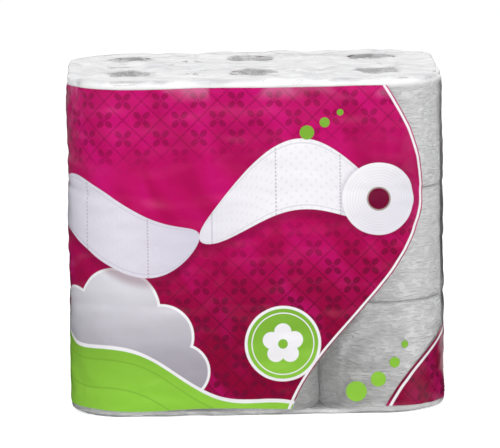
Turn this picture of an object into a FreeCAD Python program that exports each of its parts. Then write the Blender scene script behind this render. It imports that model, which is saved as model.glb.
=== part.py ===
"""A wrapped pack of toilet rolls: three across, two deep and three high, in one film.

Every roll is wound paper on a cardboard core. The rolls are pressed together, so each
one is flat where it meets its neighbour in the same layer. The film goes round the
front, top, back and underside, and its two ends are folded like an envelope and sealed.

Millimetres. X runs across the pack, Y from its front to its back, and Z up. The origin
is in the middle of the underside.
"""

import FreeCAD, Part
import math
import os
import Sketcher
from FreeCAD import Placement, Rotation, Vector

SIZES = [
    ("roll_radius", "57", "outer radius of a roll as wound"),
    ("roll_tall", "102", "length of a roll along its core"),
    ("squeeze", "2", "how much closer the film presses two rolls than their width"),
    ("ply", "0.6", "height of the step where the last turn of paper ends"),
    ("roll_edge", "1.2", "soft edge of a roll where it meets another roll"),
    ("pressed_edge", "5", "soft edge of a roll that the film pulls over"),
    ("core_radius", "22", "outer radius of the cardboard core"),
    ("core_wall", "0.9", "thickness of the cardboard"),
    ("core_gap", "0.3", "gap between the core and the first turn of paper"),
    ("film", "0.3", "thickness of the film"),
    ("slack", "0.25", "gap between the film and the rounded sides of the rolls"),
    ("end_slack", "1.8", "the same gap at the two folded ends"),
    ("tuck", "1.2", "how far the tucked part of a folded end lies below the rest"),
    ("dimple_radius", "18", "radius of the hollow in the film over a core"),
    ("dimple_deep", "2.6", "depth of the hollow in the film over a core"),
    ("star_radius", "15", "radius of the hollow between four rolls"),
    ("star_deep", "1.8", "depth of the hollow between four rolls"),
    ("seal_wide", "16", "width of the seal down the middle of a folded end"),
    ("seal_thick", "0.7", "how far that seal stands out"),
    ("fin_deep", "1.4", "how far the free edge of a sealed fold stands out"),
    ("fin_wide", "1.6", "width of that free edge"),
]
COLUMNS = ("left", "centre", "right")
ROWS = ("front", "back")
LAYERS = ("bottom", "middle", "top")
TAIL_FIRST = 35
TAIL_STEP = 5
TAIL_STEPS = 5
QUARTER = 90

PITCH = "(2 * sizes.roll_radius - sizes.squeeze)"
HALF_X = f"({len(COLUMNS) - 1} * {PITCH} / 2 + sizes.roll_radius + sizes.end_slack)"
HALF_Y = f"({len(ROWS) - 1} * {PITCH} / 2 + sizes.roll_radius + sizes.slack)"
CORNER = "(sizes.roll_radius + sizes.slack)"
INSIDE_TOP = f"(sizes.film + {len(LAYERS)} * sizes.roll_tall)"
OUTSIDE_TOP = f"({INSIDE_TOP} + sizes.film)"
INSIDE_EDGE = "(sizes.pressed_edge + sizes.slack)"
OUTSIDE_EDGE = f"({INSIDE_EDGE} + sizes.film)"
TUCK_HALF = f"({HALF_Y} - 0.8 * {CORNER})"

doc = FreeCAD.newDocument("toilet_roll_pack")
sheet = doc.addObject("Spreadsheet::Sheet", "sizes")


def fill_sheet():
    """Writes each size, its name and what it is in one row of the sheet."""
    for row, (name, value, words) in enumerate(SIZES, start=1):
        sheet.set(f"A{row}", value)
        sheet.set(f"B{row}", words)
        sheet.setAlias(f"A{row}", name)
    doc.recompute()


def number(expression):
    """The value in millimetres that an expression on the sheet has now."""
    return float(sheet.evalExpression(expression))


def origin_plane(body, role):
    """One of a body's own origin planes."""
    return next(f for f in body.Origin.OriginFeatures if f.Role == role)


def new_sketch(body, name, plane, offset=None):
    """An empty sketch on one of the body's origin planes."""
    sketch = body.newObject("Sketcher::SketchObject", name)
    sketch.AttachmentSupport = [(origin_plane(body, plane), "")]
    sketch.MapMode = "FlatFace"
    if offset is not None:
        sketch.AttachmentOffset = offset
    return sketch


def bind(sketch, kind, places, expression, name):
    """A dimension of a sketch, named, and held to an expression on the sheet."""
    value = number(expression)
    index = sketch.addConstraint(Sketcher.Constraint(kind, *places, value))
    sketch.renameConstraint(index, name)
    sketch.setExpression(f"Constraints.{name}", expression)


def pin_point(sketch, line, end, across, up, name):
    """Holds one end of a line at a place, each coordinate a sign and an expression."""
    for kind, (sign, expression) in (("DistanceX", across), ("DistanceY", up)):
        here, origin = (line, end), (-1, 1)
        places = origin + here if sign > 0 else here + origin
        bind(sketch, kind, places, expression, f"{name}_{kind[-1].lower()}")


def polygon(sketch, corners, name):
    """A closed outline of straight lines. Each corner is a pair of sign and expression."""
    points = [
        Vector(a_sign * number(a), b_sign * number(b), 0)
        for (a_sign, a), (b_sign, b) in corners
    ]
    first = sketch.GeometryCount
    count = len(points)
    for i, point in enumerate(points):
        sketch.addGeometry(Part.LineSegment(point, points[(i + 1) % count]), False)
    for i in range(count):
        joint = (first + i, 2, first + (i + 1) % count, 1)
        sketch.addConstraint(Sketcher.Constraint("Coincident", *joint))
    for i, (across, up) in enumerate(corners):
        pin_point(sketch, first + i, 1, across, up, f"{name}{i}")


def circle(sketch, expression, name):
    """A circle round the sketch's origin."""
    shape = Part.Circle(Vector(), Vector(0, 0, 1), number(expression))
    index = sketch.addGeometry(shape, False)
    sketch.addConstraint(Sketcher.Constraint("Coincident", index, 3, -1, 1))
    bind(sketch, "Radius", (index,), expression, name)


def pad(body, sketch, expression, name):
    """Raises a sketch from its plane to a height."""
    feature = body.newObject("PartDesign::Pad", name)
    feature.Profile = sketch
    feature.Length = number(expression)
    feature.setExpression("Length", expression)
    return feature


def wound_outline(sketch):
    """The outside of the paper: a spiral of four quarter turns that ends in a step.

    Each quarter's radius is a quarter of the ply smaller than the last, and its centre
    moves by as much, so that the four run smoothly into each other.
    """
    radius = number("sizes.roll_radius")
    shift = number("sizes.ply") / 4
    centres = [(0, 0), (0, shift), (-shift, shift), (-shift, 0)]
    for quarter, centre in enumerate(centres):
        round_arc = Part.Circle(
            Vector(*centre, 0), Vector(0, 0, 1), radius - quarter * shift
        )
        start, end = quarter * math.pi / 2, (quarter + 1) * math.pi / 2
        sketch.addGeometry(Part.ArcOfCircle(round_arc, start, end), False)
    last = Vector(radius - 4 * shift, 0, 0)
    step = sketch.addGeometry(Part.LineSegment(last, Vector(radius, 0, 0)), False)
    sketch.addConstraint(Sketcher.Constraint("Coincident", 0, 3, -1, 1))
    sketch.addConstraint(Sketcher.Constraint("PointOnObject", 0, 1, -1))
    for i in (0, 1, 2):
        sketch.addConstraint(Sketcher.Constraint("Tangent", i, 2, i + 1, 1))
    for i in (3, step):
        joint = (i, 2, i + 1, 1) if i == 3 else (i, 2, 0, 1)
        sketch.addConstraint(Sketcher.Constraint("Coincident", *joint))
    for i, level in enumerate(("Vertical", "Horizontal", "Vertical")):
        sketch.addConstraint(Sketcher.Constraint(level, i, 3, i, 2))
    sketch.addConstraint(Sketcher.Constraint("Horizontal", step))
    for i in range(4):
        expression = f"sizes.roll_radius - {i} * sizes.ply / 4"
        bind(sketch, "Radius", (i,), expression, f"turn{i}")


def soften_edges(body, upper, lower):
    """Turns a slope off the top and bottom rims. Each is the name of a size."""
    sketch = new_sketch(body, "EdgeProfile", "XZ_Plane")
    beyond = "sizes.roll_radius / 5"
    out = f"(sizes.roll_radius + {beyond})"
    for name, edge, foot in (("rim", upper, 1), ("base", lower, 0)):
        level = "sizes.roll_tall" if foot else "0 * sizes.roll_tall"
        inner = f"(sizes.roll_radius - sizes.{edge} - {beyond})"
        deep = f"sizes.{edge} + {beyond}"
        if foot:
            corners = [
                ((1, inner), (1, f"{level} + {beyond}")),
                ((1, out), (1, f"{level} + {beyond}")),
                ((1, out), (1, f"{level} - ({deep})")),
            ]
        else:
            corners = [
                ((1, inner), (-1, beyond)),
                ((1, out), (-1, beyond)),
                ((1, out), (1, deep)),
            ]
        polygon(sketch, corners, name)
    groove = body.newObject("PartDesign::Groove", "SoftEdges")
    groove.Profile = sketch
    groove.ReferenceAxis = (sketch, ["V_Axis"])
    groove.Angle = 360


def press_flats(body, sides):
    """Cuts away all that lies outside the roll's own cell in its layer.

    The cell ends half a pitch away on each side with a neighbour, and clear of the roll
    on the others.
    """
    sketch = new_sketch(body, "Cell", "XY_Plane")
    near, far, beyond = (f"{PITCH} * {share}" for share in (0.5, 1, 2))
    left, right, front, back = (
        near if side in sides else far for side in ((-1, 0), (1, 0), (0, -1), (0, 1))
    )
    for name, (low_x, high_x, low_y, high_y) in (
        ("cell", (left, right, front, back)),
        ("around", (beyond,) * 4),
    ):
        corners = [
            ((-1, low_x), (-1, low_y)),
            ((1, high_x), (-1, low_y)),
            ((1, high_x), (1, high_y)),
            ((-1, low_x), (1, high_y)),
        ]
        polygon(sketch, corners, name)
    pocket = body.newObject("PartDesign::Pocket", "PressedFlats")
    pocket.Profile = sketch
    pocket.Type = 1
    pocket.Reversed = True


def neighbours(column, row):
    """The directions in which a roll has another beside it."""
    sides = [(-1, 0)] * (column > 0) + [(1, 0)] * (column < len(COLUMNS) - 1)
    return sides + [(0, -1)] * (row > 0) + [(0, 1)] * (row < len(ROWS) - 1)


def stand_in_stack(body, column, row, layer):
    """Puts a body at its place in the stack, held to the pitch and the roll's length."""
    across = f"{column - (len(COLUMNS) - 1) / 2} * {PITCH}"
    deep = f"{row - (len(ROWS) - 1) / 2} * {PITCH}"
    up = f"sizes.film + {layer} * sizes.roll_tall"
    for axis, expression in (("x", across), ("y", deep), ("z", up)):
        body.setExpression(f"Placement.Base.{axis}", expression)


def make_roll(column, row, layer, place):
    """One roll of wound paper, with the bore that its core fills."""
    body = doc.addObject("PartDesign::Body", f"roll_{place}")
    index = (layer * len(ROWS) + row) * len(COLUMNS) + column
    turn = TAIL_FIRST + TAIL_STEP * (index % TAIL_STEPS) + QUARTER * (index % 4)
    turned = Placement(Vector(), Rotation(Vector(0, 0, 1), turn))
    sketch = new_sketch(body, "WoundOutline", "XY_Plane", turned)
    wound_outline(sketch)
    circle(sketch, "sizes.core_radius + sizes.core_gap", "bore")
    pad(body, sketch, "sizes.roll_tall", "Paper")
    upper = "pressed_edge" if layer == len(LAYERS) - 1 else "roll_edge"
    lower = "pressed_edge" if layer == 0 else "roll_edge"
    soften_edges(body, upper, lower)
    press_flats(body, neighbours(column, row))
    stand_in_stack(body, column, row, layer)
    return body


def make_core(column, row, layer, place):
    """One cardboard tube, as long as the paper is wide."""
    body = doc.addObject("PartDesign::Body", f"core_{place}")
    sketch = new_sketch(body, "TubeSection", "XY_Plane")
    circle(sketch, "sizes.core_radius", "outside")
    circle(sketch, "sizes.core_radius - sizes.core_wall", "inside")
    pad(body, sketch, "sizes.roll_tall", "Tube")
    stand_in_stack(body, column, row, layer)
    return body


def round_cornered(sketch, grow):
    """The plan of the film at some distance outside its inner face, on four arcs."""
    half_x, half_y = f"{HALF_X} + {grow}", f"{HALF_Y} + {grow}"
    corner = f"{CORNER} + {grow}"
    a, b, r = number(half_x), number(half_y), number(corner)
    turns = [(1, 1), (-1, 1), (-1, -1), (1, -1)]
    for i, (side_x, side_y) in enumerate(turns):
        centre = Vector(side_x * (a - r), side_y * (b - r), 0)
        round_arc = Part.Circle(centre, Vector(0, 0, 1), r)
        start, end = i * math.pi / 2, (i + 1) * math.pi / 2
        sketch.addGeometry(Part.ArcOfCircle(round_arc, start, end), False)
    for i in range(4):
        ends = (sketch.Geometry[i].EndPoint, sketch.Geometry[(i + 1) % 4].StartPoint)
        sketch.addGeometry(Part.LineSegment(*ends), False)
    for i in range(4):
        after = (i + 1) % 4
        sketch.addConstraint(Sketcher.Constraint("Tangent", i, 2, 4 + i, 1))
        sketch.addConstraint(Sketcher.Constraint("Tangent", 4 + i, 2, after, 1))
    for i in (0, 2):
        sketch.addConstraint(Sketcher.Constraint("Horizontal", 4 + i))
    for i in (1, 2, 3):
        sketch.addConstraint(Sketcher.Constraint("Equal", 0, i))
    bind(sketch, "Radius", (0,), corner, "corner")
    inset_x = f"{half_x} - ({corner})"
    inset_y = f"{half_y} - ({corner})"
    bind(sketch, "DistanceX", (-1, 1, 0, 3), inset_x, "centre_x")
    bind(sketch, "DistanceY", (-1, 1, 0, 3), inset_y, "centre_y")
    bind(sketch, "DistanceX", (2, 3, -1, 1), inset_x, "far_x")
    bind(sketch, "DistanceY", (2, 3, -1, 1), inset_y, "far_y")


def film_block(name, grow, foot, top, edge=None):
    """A block in the plan of the film, from one level to another."""
    body = doc.addObject("PartDesign::Body", name)
    sketch = new_sketch(body, "Plan", "XY_Plane")
    round_cornered(sketch, grow)
    block = pad(body, sketch, f"{top} - ({foot})", "Block")
    if edge:
        doc.recompute()
        rims = [
            f"Edge{i}"
            for i, e in enumerate(block.Shape.Edges, start=1)
            if abs(e.BoundBox.ZMax - e.BoundBox.ZMin) < number(edge) / 10
        ]
        fillet = body.newObject("PartDesign::Fillet", "SoftRims")
        fillet.Base = (block, rims)
        fillet.Radius = number(edge)
        fillet.setExpression("Radius", edge)
    body.setExpression("Placement.Base.z", foot)
    return body


def hollow_balls(name, wall):
    """The balls that hollow the film over each core and between four rolls."""
    balls = []
    columns, rows = len(COLUMNS), len(ROWS)
    over_cores = [(i, j, "dimple") for i in range(columns) for j in range(rows)]
    between = [
        (i + 0.5, j + 0.5, "star") for i in range(columns - 1) for j in range(rows - 1)
    ]
    for column, row, kind in over_cores + between:
        wide, deep = f"sizes.{kind}_radius", f"sizes.{kind}_deep"
        radius = f"(({wide} ^ 2 + {deep} ^ 2) / (2 * {deep}))"
        for upper in (True, False):
            ball = doc.addObject("Part::Sphere", f"{name}_ball")
            ball.Radius = number(f"{radius} + {wall}")
            ball.setExpression("Radius", f"{radius} + {wall}")
            ball.Placement.Rotation = Rotation(Vector(1, 0, 0), QUARTER)
            across = f"{column - (columns - 1) / 2} * {PITCH}"
            along = f"{row - (rows - 1) / 2} * {PITCH}"
            level = f"{OUTSIDE_TOP} + {radius} - {deep}"
            up = level if upper else f"{deep} - {radius}"
            for axis, expression in (("x", across), ("y", along), ("z", up)):
                ball.setExpression(f"Placement.Base.{axis}", expression)
            balls.append(ball)
    return balls


def join(kind, name, shapes):
    """A boolean of several shapes."""
    result = doc.addObject(f"Part::{kind}", name)
    result.Shapes = shapes
    return result


def group(name, shapes):
    """Several shapes as one, to be cut away together."""
    result = doc.addObject("Part::Compound", name)
    result.Links = shapes
    return result


def cut(name, base, tool):
    """One shape with another taken out of it."""
    result = doc.addObject("Part::Cut", name)
    result.Base = base
    result.Tool = tool
    return result


def tucked_ends(name, grow, wider):
    """What the tucked triangles at the top and bottom of both ends take from a block.

    The film's upper and lower edges fold in first, and the front and back come round
    over them, so each triangle lies deeper than the rest of the end.
    """
    foot, top = "-sizes.tuck", f"{OUTSIDE_TOP} + sizes.tuck"
    outer = film_block(f"{name}_outer", f"{grow} + sizes.tuck", foot, top)
    inner = film_block(f"{name}_inner", f"{grow} - sizes.tuck", foot, top)
    ring = cut(f"{name}_ring", outer, inner)
    body = doc.addObject("PartDesign::Body", f"{name}_triangles")
    sketch = new_sketch(body, "Triangles", "YZ_Plane")
    half = f"({TUCK_HALF} + {wider})"
    high = f"({OUTSIDE_TOP} - {OUTSIDE_EDGE} + {wider})"
    low = f"({OUTSIDE_EDGE} - {wider})"
    none = "0 * sizes.film"
    polygon(
        sketch,
        [((-1, half), (1, high)), ((1, half), (1, high)), ((1, none), (1, f"{high} - {half}"))],
        "upper",
    )
    polygon(
        sketch,
        [((-1, half), (1, low)), ((1, half), (1, low)), ((1, none), (1, f"{low} + {half}"))],
        "lower",
    )
    through = f"2 * ({HALF_X} + {PITCH})"
    block = pad(body, sketch, through, "Through")
    block.Midplane = True
    return join("MultiCommon", f"{name}_tucks", [ring, body])


def end_seal(side, name):
    """The seal where the front and back folds overlap, with the free edge of the upper one."""
    apex = f"({OUTSIDE_EDGE} + {TUCK_HALF})"
    strips = []
    for part, wide, thick, along in (
        ("band", "sizes.seal_wide", "sizes.seal_thick", "-sizes.seal_wide / 2"),
        ("fin", "sizes.fin_wide", "sizes.fin_deep", "sizes.seal_wide / 2 - sizes.fin_wide"),
    ):
        box = doc.addObject("Part::Box", f"{name}_{part}")
        face = f"({HALF_X} + sizes.film)"
        start = face if side > 0 else f"-{face} - {thick}"
        for prop, expression in (
            ("Length", thick),
            ("Width", wide),
            ("Height", f"{OUTSIDE_TOP} - 2 * {apex}"),
            ("Placement.Base.x", start),
            ("Placement.Base.y", along),
            ("Placement.Base.z", apex),
        ):
            box.setExpression(prop, expression)
        strips.append(box)
    return strips


def make_film():
    """The film: a closed skin round the whole stack, hollowed and folded as it lies."""
    outside = film_block("outside", "sizes.film", "0 * sizes.film", OUTSIDE_TOP, OUTSIDE_EDGE)
    inside = film_block("inside", "0 * sizes.film", "sizes.film", INSIDE_TOP, INSIDE_EDGE)
    outer_tools = hollow_balls("outer", "0 * sizes.film")
    outer_tools.append(tucked_ends("outer", "sizes.film", "0 * sizes.film"))
    inner_tools = hollow_balls("inner", "sizes.film")
    inner_tools.append(tucked_ends("inner", "0 * sizes.film", "sizes.film"))
    shaped_outside = cut("shaped_outside", outside, group("outer_tools", outer_tools))
    shaped_inside = cut("shaped_inside", inside, group("inner_tools", inner_tools))
    skin = cut("skin", shaped_outside, shaped_inside)
    seals = end_seal(1, "right_seal") + end_seal(-1, "left_seal")
    return join("MultiFuse", "wrap_film", [skin] + seals)


def check(parts):
    """Stops if any object failed, or a finished shape isn't sound."""
    failed = [o.Name for o in doc.Objects if {"Invalid", "Error"} & set(o.State)]
    if failed:
        raise RuntimeError(f"these objects failed: {failed}")
    for part in parts:
        shape = part.Shape
        if shape.isNull() or not shape.isValid() or not shape.Solids:
            raise RuntimeError(f"{part.Label} has no sound shape")


def main():
    """Builds the pack and writes each piece to a file named after it."""
    fill_sheet()
    parts = []
    for layer, level in enumerate(LAYERS):
        for row, depth in enumerate(ROWS):
            for column, side in enumerate(COLUMNS):
                place = f"{level}_{depth}_{side}"
                parts.append(make_roll(column, row, layer, place))
                parts.append(make_core(column, row, layer, place))
    parts.append(make_film())
    doc.recompute()
    check(parts)
    os.makedirs("parts", exist_ok=True)
    for part in parts:
        part.Shape.exportStep(f"parts/{part.Label}.step")
        box = part.Shape.BoundBox
        print(
            f"{part.Label}: {len(part.Shape.Solids)} solid, {part.Shape.Volume:.0f} mm3,"
            f" {box.XLength:.2f} x {box.YLength:.2f} x {box.ZLength:.2f}"
        )


main()
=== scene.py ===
"""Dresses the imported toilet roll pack: printed film, embossed rolls and board cores."""

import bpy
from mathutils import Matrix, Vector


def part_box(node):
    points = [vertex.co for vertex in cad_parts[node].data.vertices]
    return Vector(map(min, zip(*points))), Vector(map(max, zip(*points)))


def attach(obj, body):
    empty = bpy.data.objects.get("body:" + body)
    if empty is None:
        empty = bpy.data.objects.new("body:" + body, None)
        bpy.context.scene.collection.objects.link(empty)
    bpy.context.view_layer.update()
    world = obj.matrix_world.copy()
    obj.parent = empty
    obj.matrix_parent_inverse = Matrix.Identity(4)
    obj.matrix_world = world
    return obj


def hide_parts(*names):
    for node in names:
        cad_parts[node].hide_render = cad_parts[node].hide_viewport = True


bl_info = {
    "name": "Toilet Roll Pack",
    "version": (1, 0, 0),
    "blender": (4, 5, 0),
    "location": "3D View > Sidebar > Roll Pack",
    "description": "Models the film, the rolls and the cores of a wrapped pack of toilet rolls",
    "category": "Object",
}

import math
from functools import reduce

import bmesh
import bpy
import numpy as np
from bpy.props import FloatProperty, FloatVectorProperty, IntProperty, PointerProperty
from mathutils import Vector

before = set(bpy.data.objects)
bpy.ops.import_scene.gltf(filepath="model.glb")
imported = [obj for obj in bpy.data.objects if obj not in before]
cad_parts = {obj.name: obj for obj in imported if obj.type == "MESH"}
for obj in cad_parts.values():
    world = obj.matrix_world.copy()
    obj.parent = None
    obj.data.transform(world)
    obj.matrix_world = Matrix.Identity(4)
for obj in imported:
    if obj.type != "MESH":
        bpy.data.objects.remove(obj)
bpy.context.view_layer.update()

MM = 0.001
COLUMNS = ("left", "centre", "right")
ROWS = ("front", "back")
LAYERS = ("bottom", "middle", "top")

# The pack's own sizes, read from the frame
FILM_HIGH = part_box("wrap_film")[1]


def middle(node):
    """The middle of a node's box."""
    low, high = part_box(node)
    return (low + high) / 2


ROLL_LOW, ROLL_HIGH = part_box("roll_middle_front_centre")
CORE_LOW, CORE_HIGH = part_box("core_middle_front_centre")
PITCH = middle("core_bottom_front_right").x - middle("core_bottom_front_centre").x
ROLL_TALL = ROLL_HIGH.z - ROLL_LOW.z
CORE_RADIUS = (CORE_HIGH.x - CORE_LOW.x) / 2
ROLL_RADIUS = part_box("roll_bottom_front_right")[1].x - PITCH
FIN = 1.4 * MM
SLACK = FILM_HIGH.y - PITCH / 2 - ROLL_RADIUS
HALF_X = FILM_HIGH.x - FIN
HALF_Y = FILM_HIGH.y
TOP = FILM_HIGH.z
CORNER = ROLL_RADIUS + SLACK
RIM = 5.5 * MM
FLAT_X = HALF_X - CORNER
FLAT_Y = HALF_Y - CORNER
QUARTER_ROUND = CORNER * math.pi / 2
END_AT = FLAT_X + QUARTER_ROUND + FLAT_Y
TUCK_HALF = HALF_Y - 0.8 * CORNER
APEX = RIM + TUCK_HALF
SEAL_HALF = 8 * MM
FREE_EDGE = 6.4 * MM
FILM_WALL = 0.3 * MM
CORE_GAP = 0.3 * MM
FILM_CLEAR = 0.35 * MM
SEAM_DIP = 0.7 * MM
ROLL_CENTRES = [(column * PITCH, row * PITCH) for column in (-1, 0, 1) for row in (-0.5, 0.5)]

# How the film's surface is laid out on its texture
SHEET = 0.76
BACK_ROW = 0.33
CAP_COLUMN = 0.53
UNDER_ROW = 0.35


class PackLook(bpy.types.PropertyGroup):
    """The sizes and colours that a user would change."""

    grid: FloatProperty(
        name="Film grid", description="Spacing of the film's grid", default=2.6 * MM,
        min=1 * MM, subtype="DISTANCE",
    )
    slack_depth: FloatProperty(
        name="Slack", description="Depth of the film's soft waves", default=0.7 * MM,
        subtype="DISTANCE",
    )
    valley: FloatProperty(
        name="Valleys", description="How far the film dips between two rolls", default=1.5 * MM,
        subtype="DISTANCE",
    )
    dimple: FloatProperty(
        name="Dimples", description="How far the film dips over a core", default=2.6 * MM,
        subtype="DISTANCE",
    )
    crumple: FloatProperty(
        name="Crumple", description="Height of the film's sharp creases", default=0.85 * MM,
        subtype="DISTANCE",
    )
    emboss: FloatProperty(
        name="Embossing", description="Depth of the quilting pressed into the paper",
        default=0.25 * MM, subtype="DISTANCE",
    )
    ply: FloatProperty(
        name="Last turn", description="Height of the step where the paper ends",
        default=0.6 * MM, subtype="DISTANCE",
    )
    turns_round: IntProperty(
        name="Points round", description="Points round one roll", default=216, min=48,
    )
    ground: FloatVectorProperty(
        name="Ground", description="The print's main colour", default=(0.42, 0.0005, 0.086),
        subtype="COLOR", size=3,
    )
    # A painted highlight: the ground lighter near the top.
    ground_painted_highlight: FloatVectorProperty(
        name="Ground, upper", description="The print's main colour near the top",
        default=(0.49, 0.003, 0.13), subtype="COLOR", size=3,
    )
    # Painted shade: the ground darker near the bottom and in blotches.
    ground_painted_shade: FloatVectorProperty(
        name="Ground, lower", description="The print's main colour near the bottom",
        default=(0.235, 0.0003, 0.032), subtype="COLOR", size=3,
    )
    # A painted sheen: the ground lighter where the tissue lies close behind the film.
    painted_sheen: FloatVectorProperty(
        name="Ground, sheen", description="The print's main colour where the paper lies behind it",
        default=(0.6, 0.004, 0.2), subtype="COLOR", size=3,
    )
    tone: FloatVectorProperty(
        name="Tone on tone", description="The darker pattern on the ground",
        default=(0.15, 0.002, 0.03), subtype="COLOR", size=3,
    )
    lime: FloatVectorProperty(
        name="Lime", description="The second colour of the print",
        default=(0.26, 0.56, 0.05), subtype="COLOR", size=3,
    )
    white: FloatVectorProperty(
        name="White", description="The white of the print", default=(0.8, 0.79, 0.82),
        subtype="COLOR", size=3,
    )
    tissue: FloatVectorProperty(
        name="Tissue", description="The paper's colour", default=(0.97, 0.97, 0.965),
        subtype="COLOR", size=3,
    )
    board: FloatVectorProperty(
        name="Board", description="The core's colour", default=(0.24, 0.2, 0.17),
        subtype="COLOR", size=3,
    )


# Shader maths


class Number:
    """A number on a shader's socket, on which Python's operators work."""

    def __init__(self, net, socket):
        self.net = net
        self.socket = socket

    def __add__(self, other):
        return self.net.maths("ADD", self, other)

    __radd__ = __add__

    def __sub__(self, other):
        return self.net.maths("SUBTRACT", self, other)

    def __rsub__(self, other):
        return self.net.maths("SUBTRACT", other, self)

    def __mul__(self, other):
        return self.net.maths("MULTIPLY", self, other)

    __rmul__ = __mul__

    def __truediv__(self, other):
        return self.net.maths("DIVIDE", self, other)

    def __pow__(self, other):
        return self.net.maths("POWER", self, other)

    def __abs__(self):
        return self.net.maths("ABSOLUTE", self)

    def part(self):
        """What is left after the whole part is taken off."""
        return self.net.maths("FRACT", self)

    def sine(self):
        return self.net.maths("SINE", self)

    def highest(self, other):
        return self.net.maths("MAXIMUM", self, other)

    def lowest(self, other):
        return self.net.maths("MINIMUM", self, other)

    def over(self, edge, soft):
        """1 where this is over the edge and 0 where it is under, soft by so much."""
        return self.between(edge - soft, edge + soft)

    def under(self, edge, soft):
        return 1 - self.over(edge, soft)

    def between(self, low, high):
        """Rises smoothly from 0 at the low value to 1 at the high one."""
        inputs = {"Value": self, "From Min": low, "From Max": high}
        node = self.net.node("ShaderNodeMapRange", {"interpolation_type": "SMOOTHSTEP"}, inputs)
        return Number(self.net, node.outputs["Result"])


class Net:
    """The nodes of one material, or of the world."""

    def __init__(self, owner):
        self.owner = owner
        owner.use_nodes = True
        self.tree = owner.node_tree
        self.tree.nodes.clear()

    def node(self, kind, settings=None, inputs=None):
        """A node of a kind, with its settings, and the values or links of its sockets."""
        node = self.tree.nodes.new(kind)
        for name, value in (settings or {}).items():
            setattr(node, name, value)
        for key, value in (inputs or {}).items():
            socket = node.inputs[key]
            if isinstance(value, Number):
                self.tree.links.new(value.socket, socket)
            elif isinstance(value, bpy.types.NodeSocket):
                self.tree.links.new(value, socket)
            elif socket.type == "RGBA":
                socket.default_value = (*value[:3], 1)
            else:
                socket.default_value = value
        return node

    def maths(self, operation, *values):
        node = self.node("ShaderNodeMath", {"operation": operation}, dict(enumerate(values)))
        return Number(self, node.outputs[0])

    def parts(self, vector):
        """The three numbers of a vector."""
        node = self.node("ShaderNodeSeparateXYZ", inputs={0: vector})
        return [Number(self, output) for output in node.outputs]

    def vector(self, *numbers):
        return self.node("ShaderNodeCombineXYZ", inputs=dict(enumerate(numbers))).outputs[0]

    def place(self):
        """The three coordinates of a point in the pack's frame."""
        return self.parts(self.node("ShaderNodeTexCoord").outputs["Object"])

    def noise(self, vector, scale=1.0, detail=2.0, rough=0.5, bend=0.0):
        inputs = {
            "Vector": vector, "Scale": scale, "Detail": detail, "Roughness": rough,
            "Distortion": bend,
        }
        return Number(self, self.node("ShaderNodeTexNoise", inputs=inputs).outputs[0])

    def facets(self, vector, scale):
        """The distance to the edge of a cell in a field of random cells."""
        settings = {"feature": "DISTANCE_TO_EDGE"}
        inputs = {"Vector": vector, "Scale": scale}
        return Number(self, self.node("ShaderNodeTexVoronoi", settings, inputs).outputs[0])

    def mix(self, mask, under, over):
        """One colour laid over another where the mask is 1."""
        inputs = {0: mask, 6: under, 7: over}
        return self.node("ShaderNodeMix", {"data_type": "RGBA"}, inputs).outputs[2]

    def layers(self, colour, *layers):
        """Lays colours over one another, each where its mask is 1."""
        for mask, over in layers:
            colour = self.mix(mask, colour, over)
        return colour

    def bump(self, height, distance, strength=1.0):
        inputs = {"Height": height, "Distance": distance, "Strength": strength}
        return self.node("ShaderNodeBump", inputs=inputs).outputs[0]

    def finish(self, shader, output="ShaderNodeOutputMaterial"):
        self.node(output, inputs={"Surface": shader})
        return self.owner


def new_net(name):
    """The nodes of a new material."""
    return Net(bpy.data.materials.new(name))


def darker(colour, share):
    """A share of a colour."""
    return tuple(part * share for part in colour)


def distance(across, up):
    """How far a point with these coordinates is from zero."""
    return (across * across + up * up) ** 0.5


# The print, in millimetres on the unrolled film: across from the middle of a panel, and up

SOFT = 0.35
PRINT_FOOT, PRINT_HEAD = 6.5, TOP / MM - 7
RIBBON_MID, RIBBON_SWING, RIBBON_WAVE, RIBBON_CLIMB = 190, 26, 230, 0.12
RIBBON_HALF = 31
TWIST = 175
TWIST_AT = -52
ROLL_END = (110, 197)
ROLL_END_SIZE = 33
BADGE = (22, 66)
BADGE_SIZE, BADGE_RIM = 32, 2.6
PETAL_SPREAD, PETAL_SIZE, PETALS = 11, 7.8, 5
LATTICE, DASHES, LINE_HALF = 34, 9, 0.035
WINDOW_AT, WINDOW_SWING, WINDOW_WAVE, WINDOW_LEAN = 76, 50, 420, 0.14
CORNER_DISC = (245, -66)
CORNER_SIZE = 150
OUTLINE_HALF = 1.3
HILL_UP, HILL_SWING, HILL_WAVE, HILL_LEAN = 12, 9, 150, 0.34
HILL_STRIPES = 26
BUBBLES = (
    (88, 21, 9.5), (108, 32, 7), (123, 47, 5), (133, 63, 3.5),
    (46, 258, 6.5), (62, 267, 4.5), (76, 276, 3),
)
CLOUD = ((-176, 74, 44), (-128, 98, 40), (-88, 74, 30), (-150, 40, 50), (-70, 42, 26))

# The greys and lilacs that shade the print's white motifs
LILAC = (0.6, 0.58, 0.67)
LILAC_REVERSE = (0.66, 0.64, 0.72)
LILAC_DEEP = (0.5, 0.47, 0.58)
LILAC_SHADE = (0.6, 0.58, 0.66)
PERFORATION = (0.36, 0.3, 0.38)
STITCH = (0.42, 0.38, 0.46)
TURN_LINE = (0.4, 0.37, 0.45)
CORE_EDGE = (0.36, 0.3, 0.28)
CAST_SHADOW = (0.3, 0.27, 0.36)
CLOUD_LOW = (0.34, 0.32, 0.37)
CLOUD_HIGH = (0.66, 0.65, 0.7)


def disc(across, up, centre, radius):
    """A filled circle."""
    return distance(across - centre[0], up - centre[1]).under(radius, SOFT)


def ribbon_middle(across):
    """The height of the middle of the white ribbon."""
    wave = (across * (2 * math.pi / RIBBON_WAVE) + 0.6).sine()
    return wave * RIBBON_SWING + across * RIBBON_CLIMB + RIBBON_MID


def window_edge(up):
    """How far across the printed ground ends, on an S curve up the pack."""
    wave = (up * (2 * math.pi / WINDOW_WAVE) - 1.35).sine()
    return wave * WINDOW_SWING + up * WINDOW_LEAN + WINDOW_AT


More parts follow.
